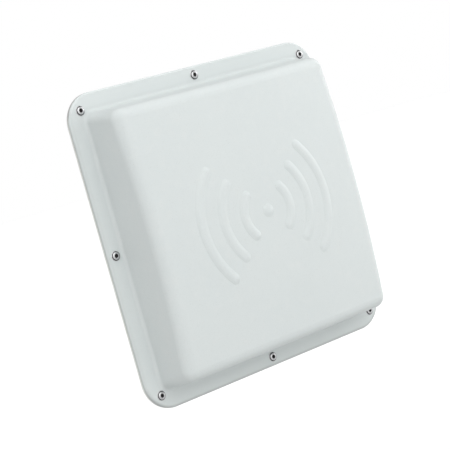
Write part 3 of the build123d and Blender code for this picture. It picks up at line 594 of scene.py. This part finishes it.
def make_rivets():
    """The eight blind rivets, each on the axis of its CAD solid."""
    node = "flange_rivets"
    forward = Vector((0, -1, 0))
    cad = copy_of(node)
    flange_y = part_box("radome")[1][1] - FLANGE_T
    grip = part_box("back_plate")[1][1] - flange_y
    form = bmesh.new()
    for island in islands(cad):
        points = [v.co for v in island]
        centre = middle(points)
        top = flange_y - min(p.y for p in points)
        bottom = flange_y - max(p.y for p in points)
        seat = Vector((centre.x, flange_y, centre.z))
        turned(form, seat, forward, rivet_profile(top, bottom, grip))
    cad.free()
    stand_in("flange_rivets.set", node, form, [materials[slots[node]], painted_shade_material])


M6_R, M6_PITCH = 3.0 * MM, 1.0 * MM
M8_R, M8_PITCH = 4.0 * MM, 1.25 * MM
JACK_R, JACK_PITCH = 7.9375 * MM, 25.4 / 24 * MM

make_rivets()
threaded("clamp_bolts.cut", "clamp_bolts", "Y", M8_R, M8_PITCH, 74 * MM)
threaded("pivot_bolt.cut", "pivot_bolt", "X", M8_R, M8_PITCH, 22 * MM)
threaded("lock_bolt.cut", "lock_bolt", "X", M8_R, M8_PITCH, 22 * MM)
threaded("bracket_studs.cut", "bracket_studs", "Y", M6_R, M6_PITCH, 13 * MM)
threaded("connector_shell.cut", "connector_shell", "Y", JACK_R, JACK_PITCH, 9.6 * MM)


# ---- Stage ---------------------------------------------------------------------------------------

FLOOR_DROP = 0.8
FLOOR_SIZE = 60.0
# The floor is darkest within the first distance of the origin and lightest past the second: a painted
# shadow under the antenna
FLOOR_DIM, FLOOR_BRIGHT = 1.1, 2.7
CAMERA_AT = (-0.89107, -1.27185, 0.09673)
CAMERA_TURN = (85.8904, 15.6066, -37.7781)
CAMERA_LENS = 121.14


def make_floor():
    """A sheet of pale paper, darker under the antenna as a painted shadow."""
    form = bmesh.new()
    bmesh.ops.create_grid(form, x_segments=8, y_segments=8, size=FLOOR_SIZE / 2)
    bmesh.ops.translate(form, verts=form.verts, vec=(0, 0, cad_box[0][2] - FLOOR_DROP))
    mesh = bpy.data.meshes.new("floor")
    form.to_mesh(mesh)
    form.free()
    s = Surface("floor_paper", (0.90, 0.90, 0.90), 0.9, specular=0.1)
    distance = s.node("ShaderNodeVectorMath")
    distance.operation = "LENGTH"
    s.join(s.place(), distance.inputs[0])
    s.stain(s.range(s.noise(0.8), 0.4, 0.7), (0.88, 0.88, 0.88), 0.5)
    # Painted shadow: darker towards the middle, under the antenna
    s.stain(s.range(distance.outputs["Value"], FLOOR_BRIGHT, FLOOR_DIM), (0.60, 0.60, 0.60))
    s.set("Emission Color", (1, 1, 1, 1))
    s.set("Emission Strength", 0.02)
    mesh.materials.append(s.material)
    floor = bpy.data.objects.new("floor", mesh)
    bpy.context.scene.collection.objects.link(floor)


def soft_light(name, azimuth, elevation, spread, strength):
    """A broad distant light. Azimuth is from the antenna's front, positive towards +X."""
    a, e = radians(azimuth), radians(elevation)
    towards = Vector((sin(a) * cos(e), -cos(a) * cos(e), sin(e)))
    light = bpy.data.lights.new(name, "SUN")
    light.angle = radians(spread)
    light.energy = strength
    lamp = bpy.data.objects.new(name, light)
    lamp.rotation_euler = towards.to_track_quat("Z", "Y").to_euler()
    bpy.context.scene.collection.objects.link(lamp)


def make_world():
    """A white backdrop, whose light fades from the horizon up to a dim ceiling."""
    sky = bpy.data.worlds.new("studio")
    sky.use_nodes = True
    tree = sky.node_tree
    backdrop = tree.nodes["Background"]
    backdrop.inputs["Color"].default_value = (1, 1, 1, 1)
    place = tree.nodes.new("ShaderNodeTexCoord")
    split = tree.nodes.new("ShaderNodeSeparateXYZ")
    fade = tree.nodes.new("ShaderNodeMapRange")
    for key, number in (("From Min", 0.14), ("From Max", 0.4), ("To Min", 1.0), ("To Max", 0.02)):
        fade.inputs[key].default_value = number
    tree.links.new(place.outputs["Generated"], split.inputs["Vector"])
    tree.links.new(split.outputs["Z"], fade.inputs["Value"])
    seen = tree.nodes.new("ShaderNodeLightPath")
    either = tree.nodes.new("ShaderNodeMath")
    either.operation = "MAXIMUM"
    tree.links.new(fade.outputs["Result"], either.inputs[0])
    tree.links.new(seen.outputs["Is Camera Ray"], either.inputs[1])
    tree.links.new(either.outputs["Value"], backdrop.inputs["Strength"])
    bpy.context.scene.world = sky


def make_camera():
    lens = bpy.data.cameras.new("camera")
    lens.lens = CAMERA_LENS
    lens.sensor_width = 36.0
    camera = bpy.data.objects.new("camera", lens)
    camera.location = CAMERA_AT
    camera.rotation_euler = [radians(a) for a in CAMERA_TURN]
    bpy.context.scene.collection.objects.link(camera)
    bpy.context.scene.camera = camera


make_floor()
make_world()
soft_light("left", -80, 40, 50, 0.88)
soft_light("front_high", 0, 40, 50, 0.97)
soft_light("front_low", 0, 15, 50, 0.91)
soft_light("right", 80, 15, 50, 1.60)
soft_light("top", 0, 90, 50, 1.62)
make_camera()
bpy.context.scene.view_settings.view_transform = "Standard"
